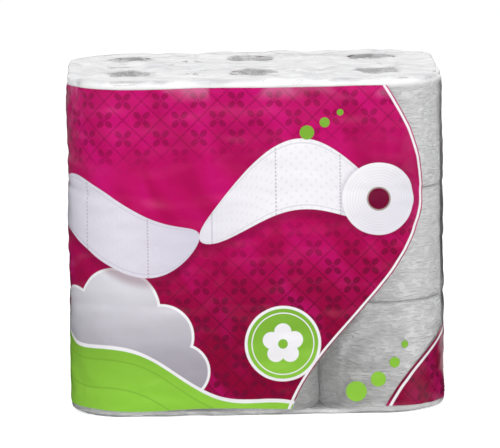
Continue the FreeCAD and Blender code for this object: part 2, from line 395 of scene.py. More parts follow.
def quilt_lines(across, up):
    """A lattice of stitched lines with a four-petalled flower at each crossing."""
    first = ((across + up) / LATTICE).part() - 0.5
    second = ((across - up) / LATTICE).part() - 0.5
    dash_first = (second * DASHES).part().under(0.7, 0.06)
    dash_second = (first * DASHES).part().under(0.7, 0.06)
    lines = (abs(first).under(LINE_HALF, 0.008) * dash_first).highest(
        abs(second).under(LINE_HALF, 0.008) * dash_second
    )
    shift_first = ((across + up) / LATTICE + 0.5).part() - 0.5
    shift_second = ((across - up) / LATTICE + 0.5).part() - 0.5
    square = shift_first * shift_first + shift_second * shift_second + 0.0001
    lobe = abs(shift_first * shift_first - shift_second * shift_second) / square
    far = square**0.5
    petals = (lobe * 0.4 - far).over(0.0, 0.012) * far.over(0.09, 0.012)
    return lines.highest(petals).highest(far.under(0.055, 0.012))


def ribbon_layers(net, look, across, up):
    """A broad paper streamer that twists: its colour, its mask and its shadow."""
    swing = up - ribbon_middle(across)
    turn = ((across - TWIST_AT) * (math.pi / TWIST)).sine()
    half = (abs(turn) ** 0.55) * RIBBON_HALF + 1.2
    end_at = TWIST_AT + TWIST
    mask = (half - abs(swing)).over(0, SOFT) * across.under(end_at, SOFT)
    shadow = (half + 3 - abs(swing + 5)).over(0, 5) * across.under(end_at - 8, 10) * 0.45
    reverse = turn.under(0, 0.02)
    shade = (1 - abs(turn)) * 0.55
    share = swing / half
    dots = distance(
        (across / 9 + share * 3.2).part() - 0.5, (across / 9 - share * 3.2).part() - 0.5
    ).under(0.2, 0.05)
    rows = abs((across / 58 + 0.2).part() - 0.5).under(0.012, 0.004)
    holes = rows * (share * 9).part().under(0.6, 0.1)
    stitch = abs(abs(share) - 0.88).under(0.018, 0.01) * 0.4
    face = net.layers(
        look.white,
        (shade, LILAC),
        (reverse, net.mix(shade, LILAC_REVERSE, LILAC_DEEP)),
        (dots * 0.28, LILAC),
        (holes * 0.6, PERFORATION),
        (stitch, STITCH),
    )
    return face, mask, shadow


def roll_end(net, look, across, up):
    """A roll seen end on: its colour, and how far a point is outside it."""
    far = distance(across - ROLL_END[0], up - ROLL_END[1])
    off = far - ROLL_END_SIZE
    turns = (far / 2.6).part().under(0.14, 0.1) * far.over(12, 1) * off.under(-2, 0.5)
    shade = ((across - up) / 60 + 2.6).between(0.4, 1.6)
    face = net.layers(
        look.white,
        (shade * 0.5, LILAC_SHADE),
        (turns * 0.3, TURN_LINE),
        (far.under(11, SOFT), CORE_EDGE),
        (far.under(9.6, SOFT), look.tone),
    )
    return face, off


def petal_flower(across, up, centre):
    """A flower of round petals."""
    petals = []
    for turn in range(PETALS):
        angle = math.radians(90 + 360 / PETALS * turn)
        petal_across = centre[0] + PETAL_SPREAD * math.cos(angle)
        petal_up = centre[1] + PETAL_SPREAD * math.sin(angle)
        petals.append(disc(across, up, (petal_across, petal_up), PETAL_SIZE))
    return reduce(Number.highest, petals)


def ground_layers(net, look, across, up):
    """The main colour: painted shade low down, a painted highlight near the top, painted sheen and
    shade in soft blotches, and the quilted lattice over it.
    """
    soft_ground = net.noise(net.vector(across / 90, up / 70, 0.0), 1.0, 2.0)
    height = up / 300
    patches = net.noise(net.vector(across / 34 + up / 90, up / 66, 0.0), 1.0, 1.2, 0.5, 0.6)
    fade = (up - across * 0.25).under(150, 60).highest((up - across * 0.1).over(245, 18) * 0.6)
    return net.layers(
        # Painted shade at the foot, the plain ground in the middle and a painted highlight near
        # the top, with a wavy edge
        look.ground_painted_shade,
        (height.between(0.18, 0.62), look.ground),
        ((height + soft_ground * 0.3).between(0.7, 1.15), look.ground_painted_highlight),
        # Painted sheen where the tissue lies close behind, and painted shade where the film stands
        # off it
        (patches.between(0.45, 0.75) * 0.36, look.painted_sheen),
        (patches.under(0.42, 0.14) * 0.34, look.ground_painted_shade),
        (quilt_lines(across, up) * fade * 0.85, look.tone),
    )


def cloud_and_hill(net, look, across, up, colour, lime):
    """A pale cloud behind a striped hill, laid over a colour."""
    cloud = reduce(
        Number.lowest, [distance(across - at, up - high) - size for at, high, size in CLOUD]
    )
    wave = (across * (2 * math.pi / HILL_WAVE)).sine() * HILL_SWING
    above = up + across * HILL_LEAN - wave - HILL_UP
    stripes = abs((above / HILL_STRIPES - 0.12).part() - 0.5).under(0.03, 0.012)
    return net.layers(
        colour,
        (cloud.under(0, SOFT), look.white),
        (cloud.under(-2.4, SOFT), net.mix((up / 150).between(0.2, 0.95), CLOUD_LOW, CLOUD_HIGH)),
        (above.under(3.4, SOFT), look.white),
        (above.under(0, SOFT), net.mix(stripes * 0.35, lime, darker(look.lime, 0.5))),
    )


def badge_layers(net, look, across, up, colour, lime):
    """A round badge with a flower, laid over a colour, and where the badge is."""
    off = distance(across - BADGE[0], up - BADGE[1])
    whole = off.under(BADGE_SIZE + BADGE_RIM, SOFT)
    colour = net.layers(
        colour,
        (whole, look.white),
        (off.under(BADGE_SIZE, SOFT), lime),
        (abs(off - BADGE_SIZE + 4).under(0.5, 0.3), look.white),
        (petal_flower(across, up, BADGE), look.white),
        (off.under(4.4, SOFT), lime),
    )
    return colour, whole


def print_layers(net, look, across, up):
    """The print's colour, with painted light and shade on its ground, and where there is ink on
    the film.
    """
    edge_off = across - window_edge(up)
    corner_off = distance(across - CORNER_DISC[0], up - CORNER_DISC[1])
    inked = edge_off.under(0, SOFT).highest(corner_off.under(CORNER_SIZE, SOFT))
    lime = net.mix((up / 110).between(0.1, 0.9), look.lime, darker(look.lime, 0.72))
    colour = ground_layers(net, look, across, up)
    colour = cloud_and_hill(net, look, across, up, colour, lime)

    face, ribbon, shadow = ribbon_layers(net, look, across, up)
    round_face, round_off = roll_end(net, look, across, up)
    edge_line = abs(edge_off + 2 * OUTLINE_HALF).under(OUTLINE_HALF, SOFT)
    corner_line = abs(corner_off - CORNER_SIZE + 4).under(OUTLINE_HALF, SOFT)
    colour = net.layers(
        colour,
        (shadow.highest(round_off.under(3, 5) * 0.45), look.tone),
        (ribbon, face),
        (round_off.under(2, 3) * ribbon * 0.4, CAST_SHADOW),
        (round_off.under(0, SOFT), round_face),
        (edge_line.highest(corner_line) * (1 - ribbon), look.white),
    )
    colour, badge = badge_layers(net, look, across, up, colour, lime)
    bubbles = reduce(
        Number.highest, [disc(across, up, (at, high), size) for at, high, size in BUBBLES]
    )
    colour = net.mix(bubbles, colour, lime)

    inked = inked.highest(badge).highest(bubbles)
    waver = (across * (2 * math.pi / 140)).sine() * 0.8
    inside = (up + waver).over(PRINT_FOOT, SOFT) * (up + waver * 0.5).under(PRINT_HEAD, SOFT)
    return colour, inked * inside


def film_material(look):
    """Thin glossy film: printed on its front and back, and clear elsewhere, with painted
    highlights on its top rim and the print's top edge, and painted shade on its top.
    """
    net = new_net("printed_film")
    across, up, _ = net.parts(net.node("ShaderNodeUVMap", {"uv_map": "OFBake"}).outputs[0])
    across = across * (SHEET / MM)
    up = up * (SHEET / MM)
    panels = across.under((CAP_COLUMN - 0.004) / MM, 0.01)
    at_back = up.over((BACK_ROW - 0.01) / MM, 0.01)
    up = up - at_back * (BACK_ROW / MM)
    across = (across - END_AT / MM) * (1 - at_back * 2)
    colour, inked = print_layers(net, look, across, up)

    x, y, z = net.place()
    at_end = abs(x).over(HALF_X - CORNER * 0.35, 0.5 * MM)
    reach = TUCK_HALF - abs(y)
    high_tuck = (reach - (TOP - RIM - z)).over(0, 0.3 * MM)
    low_tuck = (reach - (z - RIM)).over(0, 0.3 * MM)
    cap = abs(z - TOP / 2).over(TOP / 2 - 4.5 * MM, 1.5 * MM)
    tucked = high_tuck.highest(low_tuck) * at_end * (1 - cap)
    inked = inked * panels * (1 - tucked)

    # Nearly opaque white film over the top rim: a painted highlight. The milkier strip at the foot
    # is film turned under.
    edges = z.over(TOP - 8 * MM, 3 * MM).highest(z.under(6 * MM, 3 * MM) * 0.4)
    hollow = distance(*local_place(x, y)).under(CORE_RADIUS - MM, 4.5 * MM) * cap
    milk = net.noise(net.vector(x / 0.05, y / 0.05, z / 0.03), 1.0, 3.0, 0.6)
    streaks = net.noise(net.vector(x / 0.018, y / 0.03, z / 0.02), 1.0, 3.0, 0.6, 1.5)
    pulls = net.noise(net.vector(x / 0.06, y / 0.022, z / 0.05), 1.0, 1.5, 0.5, 0.8)
    fold = abs(pulls - 0.5).under(0.0, 0.009).highest(abs(pulls - 0.62).under(0.0, 0.006))
    haze = (milk * 0.1 + 0.05) + edges * 0.65 + tucked * 0.08
    haze = haze + cap * (pulls.between(0.35, 0.75) * 0.3 + 0.1)
    haze = haze * (1 - hollow * 0.8) + hollow * streaks.between(0.35, 0.7) * 0.28
    cover = inked.highest(haze)

    spot = net.vector(x, y, z)
    facets = net.facets(spot, 26.0)
    fine = net.noise(spot, 160.0, 3.0, 0.55, 0.6)
    crumple = (facets.between(0.0, 0.16) * 0.5 + fine * 0.35) * (1 - hollow) + fold * cap * 0.9
    ribs = ((z / (1.6 * MM)) * (2 * math.pi)).sine()
    seal = abs(y).under(SEAL_HALF, 0.2 * MM) * at_end * abs(z - TOP / 2).under(TOP / 2 - APEX, MM)
    normal = net.bump(crumple + ribs * seal * 0.12, 0.7 * MM, 0.55)

    # The milky cover's colour: near white off the top and darker grey on the top, painted shade,
    # with darker smears and darker fold lines there, also painted shade.
    painted_shade_smears = net.noise(net.vector(x / 0.05, y / 0.035, z / 0.05), 1.0, 3.0, 0.55, 1.0)
    paper = net.mix(z.over(TOP - 2.5 * MM, 2 * MM), (0.96, 0.96, 0.96), (0.8, 0.8, 0.81))
    paper = net.mix(painted_shade_smears.between(0.46, 0.68) * cap * 0.65, paper, (0.52, 0.52, 0.55))
    paper = net.mix(fold * cap, paper, (0.45, 0.44, 0.46))
    # A pinkish-white tint on the ink near the print's top edge, where the film is loose: a painted
    # sheen.
    loose = z.over(TOP - 14 * MM, 7 * MM) * pulls.between(0.46, 0.62)
    ink_with_painted_sheen = net.mix(loose * 0.22, colour, (0.8, 0.5, 0.68))
    inks = {
        "Base Color": net.mix(inked, paper, ink_with_painted_sheen),
        "Roughness": 0.3, "IOR": 1.45, "Specular IOR Level": 0.1,
        "Coat Weight": 0.6, "Coat Roughness": 0.1,
        "Normal": normal,
    }
    ink = net.node("ShaderNodeBsdfPrincipled", inputs=inks).outputs[0]
    clear = net.node("ShaderNodeBsdfTransparent", inputs={0: (0.985, 0.985, 0.99)}).outputs[0]
    shine_inputs = {"Color": (0.95, 0.95, 0.96), "Roughness": 0.13, "Normal": normal}
    shine = net.node("ShaderNodeBsdfGlossy", inputs=shine_inputs).outputs[0]
    facing = net.node("ShaderNodeLayerWeight", inputs={"Blend": 0.36, "Normal": normal})
    glint = Number(net, facing.outputs["Fresnel"]) * 1.1 + 0.015
    film = net.node("ShaderNodeMixShader", inputs={0: glint.lowest(1.0), 1: clear, 2: shine})
    both = net.node("ShaderNodeMixShader", inputs={0: cover, 1: film.outputs[0], 2: ink})
    return net.finish(both.outputs[0])


def tissue_material(look):
    """Soft creped tissue: short ripples round the roll, and turns on its ends."""
    net = new_net("tissue")
    x, y, z = net.place()
    spot = net.vector(x, y, z)
    ripples = net.noise(net.vector(x / 0.008, y / 0.008, z / 0.0022), 1.0, 1.0, 0.4, 0.1)
    ripples = ripples.between(0.36, 0.6)
    fibres = net.noise(spot, 1400.0, 2.0, 0.6)
    radius = distance(*local_place(x, y))
    waver = net.noise(spot, 120.0, 1.0)
    turns = ((radius / (1.1 * MM) + waver * 1.4) * (2 * math.pi)).sine()
    level = (z / ROLL_TALL + 0.5).part() - 0.5
    at_end = abs(level * ROLL_TALL).under(1.2 * MM, 0.4 * MM)
    body = ripples * 0.5 + fibres * 0.03
    height = body * (1 - at_end) + (turns * 0.2 + fibres * 0.4) * at_end
    mottle = net.noise(spot, 45.0, 2.0)
    # Darker in the troughs of the crepe ripples, which is painted shade, and a little darker at
    # random with the mottle.
    colour = net.mix(mottle * 0.2 + ripples * 0.85, darker(look.tissue, 0.88), look.tissue)
    inputs = {
        "Base Color": colour, "Roughness": 0.95, "Specular IOR Level": 0.15,
        "Normal": net.bump(height, 2.2 * MM, 1.0),
    }
    return net.finish(net.node("ShaderNodeBsdfPrincipled", inputs=inputs).outputs[0])


def local_place(x, y):
    """A point's place from the middle of its own roll, from its place in the pack."""
    local_x = ((x / PITCH + len(COLUMNS) / 2).part() - 0.5) * PITCH
    local_y = ((y / PITCH + len(ROWS) / 2).part() - 0.5) * PITCH
    return local_x, local_y


def board_material(look):
    """Grey-brown board, wound in a spiral, with its joints and fibres."""
    net = new_net("core_board")
    x, y, z = net.place()
    local_x, local_y = local_place(x, y)
    angle = net.maths("ARCTAN2", local_y, local_x) / (2 * math.pi)
    joint = abs((z / (38 * MM) + angle).part() - 0.5).under(0.018, 0.006)
    spot = net.vector(x, y, z)
    fibres = net.noise(spot, 900.0, 4.0, 0.65)
    cloud = net.noise(spot, 70.0, 2.0)
    colour = net.layers(
        darker(look.board, 0.84),
        (fibres.between(0.3, 0.75), look.board),
        (joint * 0.55, darker(look.board, 0.5)),
        (cloud * 0.3, (0.42, 0.38, 0.34)),
    )
    inputs = {
        "Base Color": colour, "Roughness": 0.88,
        "Normal": net.bump(fibres * 0.3 - joint * 0.8, 0.2 * MM, 0.6),
    }
    return net.finish(net.node("ShaderNodeBsdfPrincipled", inputs=inputs).outputs[0])


# Modelling


def deselect():
    """Deselects everything, so that the next operator acts on its own piece alone."""
    if bpy.context.object and bpy.context.object.mode != "OBJECT":
        bpy.ops.object.mode_set(mode="OBJECT")
    bpy.ops.object.select_all(action="DESELECT")


def pick(piece, kind, test):
    """Selects the edges or faces of the piece in edit mode that pass the test."""
    bpy.ops.mesh.select_mode(type={"edges": "EDGE", "faces": "FACE"}[kind])
    bpy.ops.mesh.select_all(action="DESELECT")
    mesh = bmesh.from_edit_mesh(piece.data)
    for item in getattr(mesh, kind):
        if test(item):
            item.select_set(True)
    mesh.select_flush_mode()
    bmesh.update_edit_mesh(piece.data)


def slice_through(point, normal):
    """Cuts what is selected along a plane, and keeps both sides."""
    bpy.ops.mesh.bisect(plane_co=point, plane_no=normal)


def points_of(piece, value="co"):
    """Where each of the piece's points is, or its normal, as rows of three."""
    rows = np.empty(len(piece.data.vertices) * 3)
    piece.data.vertices.foreach_get(value, rows)
    return rows.reshape(-1, 3)


def put_points(piece, places):
    piece.data.vertices.foreach_set("co", places.ravel())
    piece.data.update()


def rise(values, low, high):
    """Rises smoothly from 0 at the low value to 1 at the high one."""
    share = np.clip((values - low) / (high - low), 0, 1)
    return share * share * (3 - 2 * share)


def hump(values, wide):
    """1 at zero, and dying out at a distance."""
    return np.exp(-((values / wide) ** 2))


def soft_noise(places, size, seed, waves=14):
    """Smooth noise: waves of about one size that cross in all directions."""
    dice = np.random.RandomState(seed)
    total = np.zeros(len(places))
    for _ in range(waves):
        direction = dice.normal(size=places.shape[1])
        direction /= np.linalg.norm(direction)
        length = size * dice.uniform(0.7, 1.5)
        total += np.sin(places @ direction * (2 * math.pi / length) + dice.uniform(0, 6.28))
    return total / math.sqrt(waves / 2)


def ridge(places, first, last, wide, bow=0.0):
    """A sharp crease between two places, which may bow, and dies out at both ends."""
    first, last = np.array(first, float), np.array(last, float)
    run = last - first
    long = np.linalg.norm(run)
    height = np.zeros(len(places))
    reach = long / 2 + abs(bow) + 5 * wide
    near = np.flatnonzero(np.all(np.abs(places - (first + last) / 2) < reach, axis=1))
    off = places[near] - first
    along = np.clip((off @ run) / long**2, 0, 1)
    side = (off @ np.array([-run[1], run[0]])) / long - bow * np.sin(math.pi * along)
    height[near] = np.exp(-np.abs(side) / wide) * np.sin(math.pi * along) ** 0.6
    return height


def scattered_ridges(places, count, box, long, wide, seed, lean=None):
    """Creases strewn over a box of the plane. Lean is their direction, and its spread."""
    dice = np.random.RandomState(seed)
    total = np.zeros(len(places))
    for _ in range(count):
        middle_at = np.array([dice.uniform(*box[0]), dice.uniform(*box[1])])
        angle = dice.uniform(0, math.pi) if lean is None else dice.normal(*lean)
        half = 0.5 * long * dice.uniform(0.5, 1.4) * np.array([math.cos(angle), math.sin(angle)])
        bow = dice.normal() * long * 0.06
        size = dice.uniform(0.4, 1.0) * dice.choice([-1, 1])
        total += size * ridge(places, middle_at - half, middle_at + half, wide, bow)
    return total


def fan(places, centre, count, reach, seed, spread=(0, 2 * math.pi)):
    """Pleats that spread from one place and die out with distance."""
    dice = np.random.RandomState(seed)
    off = places - np.array(centre)
    far = np.linalg.norm(off, axis=1) + 1e-9
    angle = np.arctan2(off[:, 1], off[:, 0])
    total = np.zeros(len(places))
    for _ in range(count):
        at = dice.uniform(*spread)
        turn = np.abs((angle - at + math.pi) % (2 * math.pi) - math.pi)
        size = dice.uniform(0.4, 1.0) * dice.choice([-1, 1])
        fading = np.exp(-far / (reach * dice.uniform(0.6, 1.3)))
        total += size * np.exp(-turn * far / (3.6 * MM)) * fading
    return total * rise(far, 0, 6 * MM)


# The film


def unrolled(places):
    """How far round the film a point lies from the middle of its front or back."""
    beyond_x = np.maximum(np.abs(places[:, 0]) - FLAT_X, 0)
    beyond_y = np.maximum(np.abs(places[:, 1]) - FLAT_Y, 0)
    turned = np.arctan2(beyond_x, beyond_y)
    at_end = beyond_y <= 0
    turned[at_end] = np.where(beyond_x[at_end] > 0, math.pi / 2, 0)
    flat = np.minimum(np.abs(places[:, 0]), FLAT_X)
    end_run = np.where(at_end, FLAT_Y - np.abs(places[:, 1]), 0)
    return np.sign(places[:, 0]) * (flat + CORNER * turned + end_run)


def film_block(look):
    """A block with round corners and rims, cut into a grid all over."""
    deselect()
    bpy.ops.mesh.primitive_cube_add(size=1, location=(0, 0, TOP / 2))
    piece = bpy.context.object
    piece.name = piece.data.name = "film_skin"
    piece.scale = (2 * HALF_X, 2 * HALF_Y, TOP)
    bpy.ops.object.transform_apply(location=True, rotation=False, scale=True)
    bpy.ops.object.mode_set(mode="EDIT")
    pick(piece, "edges", lambda edge: abs(edge.verts[0].co.z - edge.verts[1].co.z) > TOP / 2)
    bpy.ops.mesh.bevel(offset=CORNER, segments=24, profile=0.5, offset_type="OFFSET")
    pick(piece, "edges", lambda edge: any(abs(face.normal.z) > 0.5 for face in edge.link_faces))
    bpy.ops.mesh.bevel(offset=RIM, segments=5, profile=0.5, offset_type="OFFSET")
    cuts = (
        (Vector((1, 0, 0)), -HALF_X, HALF_X),
        (Vector((0, 1, 0)), -HALF_Y, HALF_Y),
        (Vector((0, 0, 1)), RIM, TOP - RIM),
    )
    for normal, low, high in cuts:
        count = round((high - low) / look.grid)
        for i in range(1, count):
            bpy.ops.mesh.select_all(action="SELECT")
            slice_through(normal * (low + (high - low) * i / count), normal)
    cut_end_folds(piece)
    bpy.ops.object.mode_set(mode="OBJECT")
    return piece


def cut_end_folds(piece):
    """Cuts both ends along the fold lines and the seal, so that those can be crisp."""
    pick(piece, "faces", lambda face: abs(face.calc_center_median().x) > HALF_X - CORNER * 0.4)
    for inset in (0, 1.1 * MM):
        for side in (-1, 1):
            slope = side * (TUCK_HALF - inset)
            slice_through((0, slope, TOP - RIM), (0, side, -1))
            slice_through((0, slope, RIM), (0, side, 1))
    for off in (-SEAL_HALF, SEAL_HALF, FREE_EDGE):
        slice_through((0, off, 0), (0, 1, 0))
        slice_through((0, off + 0.5 * MM * math.copysign(1, off), 0), (0, 1, 0))


def side_relief(look, places):
    """How far the film stands out from its block on the front, back and ends."""
    round_at = unrolled(places)
    flat = np.column_stack([round_at + np.where(places[:, 1] > 0, 1.0, 0.0), places[:, 2]])
    x, y, z = places.T
    on_long = rise(np.abs(y), FLAT_Y + CORNER * 0.4, HALF_Y - 2 * MM)
    on_end = rise(np.abs(x), FLAT_X + CORNER * 0.6, HALF_X - 4 * MM)
    out = np.zeros(len(places))
    for column in (-0.5, 0.5):
        dip = hump(x - column * PITCH, 17 * MM)
        out -= look.valley * dip * on_long * (0.75 + 0.25 * soft_noise(flat, 0.12, 3))
    out -= look.valley * hump(y, 17 * MM) * on_end * 0.8
    from_roll = (x + PITCH / 2) % PITCH - PITCH / 2
    touch = np.maximum(hump(from_roll, 32 * MM), rise(np.abs(x), 0.1, 0.15))
    for level in range(1, len(LAYERS)):
        seam = z - level * ROLL_TALL - FILM_WALL
        bow = soft_noise(flat[:, :1], 0.2, 11 + level) * 1.2 * MM
        out -= 0.9 * MM * hump(seam + bow, 3.4 * MM) * touch
        out -= 0.35 * MM * hump(seam + bow, 14 * MM)
    out += look.slack_depth * soft_noise(flat, 0.085, 5) * 0.6
    out += look.slack_depth * 0.35 * soft_noise(flat * np.array([1.0, 1.8]), 0.03, 6)
    near_top = 0.35 + 0.65 * rise(z, TOP - 0.075, TOP - 0.02)
    level_waves = soft_noise(flat * np.array([0.35, 1.0]), 0.03, 8)
    out += look.slack_depth * 0.75 * near_top * level_waves * (1 - 0.75 * on_end)
    out -= 1.1 * MM * on_end * (x < 0) * rise(z, 0.18, 0.25)
    return out, flat, on_end


WHOLE_PANEL = ((-0.17, 0.17), (0.01, 0.29))
LOW_EDGE = ((-0.2, 0.2), (0.0, 0.022))
HIGH_EDGE = ((-0.2, 0.2), (0.282, 0.3))
# Strength, count, box, length, width in millimetres, seed and lean of a panel's creases
PANEL_CREASES = (
    (0.55, 46, WHOLE_PANEL, 0.07, 2.6, 21, (0.5, 0.5)),
    (0.5, 30, WHOLE_PANEL, 0.06, 2.2, 23, (2.5, 0.5)),
    (1.3, 18, WHOLE_PANEL, 0.15, 6, 51, (0.6, 0.25)),
    (0.9, 10, WHOLE_PANEL, 0.12, 5, 53, (2.7, 0.2)),
    (0.8, 44, LOW_EDGE, 0.024, 2.2, 25, None),
    (0.7, 40, HIGH_EDGE, 0.026, 2.2, 27, None),
)


def side_creases(look, flat):
    """The sharp creases of the sides: long pulls, corner pleats and crumpled edges."""
    out = np.zeros(len(flat))
    for panel in (0, 1):
        here = flat - np.array([panel, 0.0])
        for strength, count, box, long, wide, seed, lean in PANEL_CREASES:
            out += strength * scattered_ridges(
                here, count, box, long, wide * MM, seed + panel, lean
            )
        for side in (-1, 1):
            for level, seed in ((TOP - RIM, 31), (RIM, 33)):
                centre = (side * (FLAT_X + QUARTER_ROUND * 0.55), level)
                out += 1.1 * fan(here, centre, 16, 0.04, seed + side + panel)
            ends = ((side * 0.232 - 0.03, side * 0.232 + 0.03), (0.01, 0.29))
            seed = side + panel
            out += 0.6 * scattered_ridges(here, 26, ends, 0.05, 2.6 * MM, 37 + seed, (1.57, 0.4))
            out += 0.6 * scattered_ridges(here, 18, ends, 0.03, 2.2 * MM, 41 + seed)
    return look.crumple * out


def end_relief(places):
    """The folds on both ends: tucked triangles, and the seal with its free edge."""
    x, y, z = places.T
    reach = TUCK_HALF - np.abs(y)
    high = reach - (TOP - RIM - z)
    low = reach - (z - RIM)
    at_end = np.abs(x) > HALF_X - CORNER * 0.38
    inside = np.maximum(high, low)
    tucked = rise(inside, 0.2 * MM, 1.2 * MM) * at_end
    lip = hump(inside + 1.4 * MM, 1.6 * MM) * at_end * 0.5 * MM
    between = (z > APEX) & (z < TOP - APEX) & at_end
    band = (np.abs(y) < SEAL_HALF + 0.1 * MM) & between
    free = (y > FREE_EDGE - 0.1 * MM) & (y < SEAL_HALF + 0.1 * MM) & between
    out = -1.2 * MM * tucked + lip + 0.7 * MM * band + 0.7 * MM * free
    flat = np.column_stack([y * np.sign(x), z])
    for level, seed in ((TOP - APEX, 81), (APEX, 83)):
        out += 0.55 * MM * tucked * fan(flat, (0, level), 16, 0.06, seed)
    return out


def cap_relief(look, places, under):
    """The film over the ends of the rolls: hollows, pulls and folds."""
    flat = places[:, :2]
    x, y = flat.T
    out = np.zeros(len(places))
    seed = 60 if under else 50
    for centre in ROLL_CENTRES:
        far = np.hypot(x - centre[0], y - centre[1])
        out -= look.dimple * (1 - rise(far, 3 * MM, 25 * MM))
        seed += 1
        out += look.crumple * 1.1 * fan(flat, centre, 9, 0.022, seed)
    for column in (-0.5, 0.5):
        out -= 1.8 * MM * hump(np.hypot(x - column * PITCH, y), 13 * MM)
        out -= 0.7 * MM * hump(x - column * PITCH, 9 * MM)
    out -= 0.7 * MM * hump(y, 9 * MM)
    box = ((-0.16, 0.16), (-0.1, 0.1))
    pulls = scattered_ridges(flat, 60, box, 0.06, 2.4 * MM, seed + 3, (0.2, 0.6))
    out += look.crumple * 0.9 * pulls
    out += look.crumple * 0.6 * scattered_ridges(flat, 40, box, 0.035, 2.0 * MM, seed + 5)
    out += look.slack_depth * 0.6 * soft_noise(flat, 0.06, seed + 7)
    return out


def top_folds(flat):
    """The few large loose folds of the top, which lie from one hollow to another."""
    folds = (
        ((-0.150, -0.075), (-0.098, -0.030), 0.006, 1.5),
        ((-0.118, -0.050), (-0.030, -0.078), -0.008, 1.2),
        ((-0.030, -0.088), (0.060, -0.062), 0.006, 1.2),
        ((0.040, -0.080), (0.130, -0.070), 0.010, 1.3),
        ((0.060, 0.010), (0.150, -0.030), 0.008, 1.2),
        ((-0.160, 0.030), (-0.080, 0.078), -0.010, 1.2),
        ((-0.040, 0.040), (0.050, 0.070), 0.010, 1.1),
        ((0.070, 0.060), (0.160, 0.040), -0.008, 1.4),
    )
    out = np.zeros(len(flat))
    for first, last, bow, high in folds:
        out += high * MM * ridge(flat, first, last, 3.0 * MM, bow)
    return out


def lay_out_film(piece):
    """Lays the film's surface out flat on its texture: two long panels and two caps."""
    layer = piece.data.uv_layers.new(name="OFBake")
    places = points_of(piece)
    round_at = unrolled(places)
    for face in piece.data.polygons:
        cap = abs(face.normal.z) > 0.75
        for loop in face.loop_indices:
            index = piece.data.loops[loop].vertex_index
            x, y, z = places[index]
            if cap:
                across = CAP_COLUMN + HALF_Y + y
                up = HALF_X + x + (UNDER_ROW if face.normal.z < 0 else 0)
            else:
                across = END_AT + round_at[index]
                up = z + (BACK_ROW if face.center.y > 0 else 0)
            layer.data[loop].uv = (across / SHEET, up / SHEET)


def keep_clear(places):
    """Keeps the film outside the rolls and off the floor it stands on."""
    x, y, z = places.T
    seam = (z - FILM_WALL + ROLL_TALL / 2) % ROLL_TALL - ROLL_TALL / 2
    clear = ROLL_RADIUS + FILM_CLEAR - SEAM_DIP * hump(seam, 1.5 * MM)
    for centre_x, centre_y in ROLL_CENTRES:
        off_x, off_y = x - centre_x, y - centre_y
        far = np.hypot(off_x, off_y) + 1e-9
        push = np.where((z > 5 * MM) & (z < TOP - 5 * MM), np.maximum(clear - far, 0), 0)
        x, y = x + off_x / far * push, y + off_y / far * push
        over = (far > CORE_RADIUS + 1 * MM) & (far < ROLL_RADIUS - 5 * MM)
        z = np.where(over & (z > TOP - 5 * MM), np.maximum(z, TOP - 0.15 * MM), z)
        z = np.where(over & (z < 5 * MM), np.minimum(z, 0.15 * MM), z)
    return np.column_stack([x, y, np.maximum(z, 0)])


class PACK_OT_film(bpy.types.Operator):
    """Models the film: the skin of the stack, with its hollows, creases and folded ends"""

    bl_idname = "pack.film"
    bl_label = "Film"

    def execute(self, context):
        look = context.scene.pack_look
        piece = film_block(look)
        lay_out_film(piece)
        places, faced = points_of(piece), points_of(piece, "normal")
        flatness = rise(np.abs(faced[:, 2]), 0.35, 0.8)
        side, flat, on_end = side_relief(look, places)
        side += side_creases(look, flat)
        most = (1.8 - 1.1 * on_end) * MM
        side = np.where(side > 0, most * np.tanh(side / most), side) + end_relief(places)
        top = cap_relief(look, places, False) + top_folds(places[:, :2])
        base = np.minimum(cap_relief(look, places, True), 0)
        cap = np.where(faced[:, 2] > 0, top, base)
        edge = rise(np.abs(places[:, 2] - TOP / 2), TOP / 2 - 4 * MM, TOP / 2)
        out = side * (1 - flatness) + cap * flatness
        rim = 0.5 * look.crumple * soft_noise(places, 0.02, 71) * edge
        out += rim * (faced[:, 2] > -0.2)
        put_points(piece, keep_clear(places + faced * out[:, None]))
        bpy.ops.object.shade_smooth()
        piece.data.materials.append(film_material(look))
        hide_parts("wrap_film")
        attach(piece, "root")
        return {"FINISHED"}


# The rolls


def next_ring(radius, level, before):
    """Draws one more ring out of the last one, at a radius and a level."""
    bpy.ops.mesh.extrude_edges_move()
    share = radius / before[0]
    bpy.ops.transform.resize(value=(share, share, 1), center_override=(0, 0, 0))
    bpy.ops.transform.translate(value=(0, 0, level - before[1]))
    return radius, level


END_RINGS, EDGE_RINGS, SIDE_RINGS = 12, 4, 52
PRESSED_EDGE, FREE_ROUND = 2.2 * MM, 5 * MM
QUILT_CELLS = 36


def roll_profile(lower, upper):
    """The radius and level of each ring, from the foot of the bore round to its top."""
    bore = CORE_RADIUS + CORE_GAP
    shares = [i / END_RINGS for i in range(1, END_RINGS + 1)]
    angles = [math.pi / 2 * i / EDGE_RINGS for i in range(1, EDGE_RINGS + 1)]
    low, high = ROLL_RADIUS - lower, ROLL_RADIUS - upper
    span = ROLL_TALL - lower - upper
    rings = [(bore, 0.0)]
    rings += [(bore + (low - bore) * share, 0.0) for share in shares]
    rings += [(low + lower * math.sin(turn), lower * (1 - math.cos(turn))) for turn in angles]
    rings += [(ROLL_RADIUS, lower + span * i / SIDE_RINGS) for i in range(1, SIDE_RINGS + 1)]
    for turn in angles:
        rings.append((high + upper * math.cos(turn), ROLL_TALL - upper + upper * math.sin(turn)))
    return rings + [(high - (high - bore) * share, ROLL_TALL) for share in shares]


